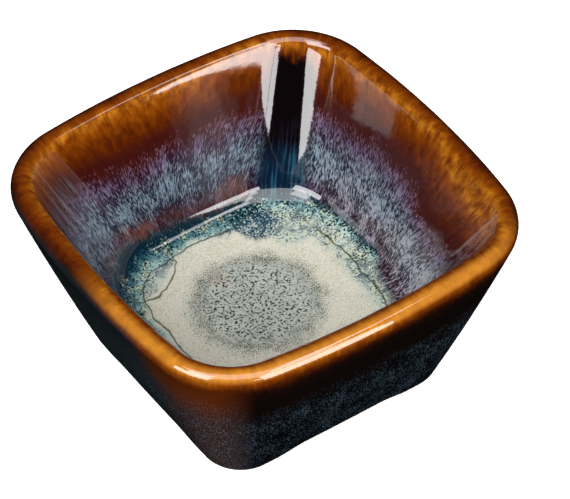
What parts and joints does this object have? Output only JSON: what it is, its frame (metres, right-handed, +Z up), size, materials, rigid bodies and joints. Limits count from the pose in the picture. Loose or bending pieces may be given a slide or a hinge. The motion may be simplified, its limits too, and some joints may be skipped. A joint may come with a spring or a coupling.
{
  "type": "sauce dish",
  "caption": "Small rounded-square stoneware sauce dish with a full round lip, a deep well, a hollow arched foot and glossy reactive glaze.",
  "frame": {"origin": "middle of the plane that the foot stands on", "axes": "+Z up out of the well; X and Y square to the dish's sides"},
  "size_m": [0.0884, 0.0884, 0.045],
  "materials": {
    "stoneware": "unglazed fired clay, matt",
    "amber_glaze": "glossy amber iron glaze",
    "streaked_glaze": "glossy purple-brown glaze with pale blue streaks",
    "cream_glaze": "glossy cream glaze with dark specks, settled in a pool",
    "dark_glaze": "glossy brown-black glaze running to blue-green streaks",
    "foot_glaze": "glossy dark brown glaze"
  },
  "bodies": {
    "root": {"stoneware_body": "stoneware", "lip_glaze": "amber_glaze", "inner_wall_glaze": "streaked_glaze", "floor_glaze_pool": "cream_glaze", "outer_wall_glaze": "dark_glaze", "underside_glaze": "foot_glaze"}
  },
  "joints": []
}
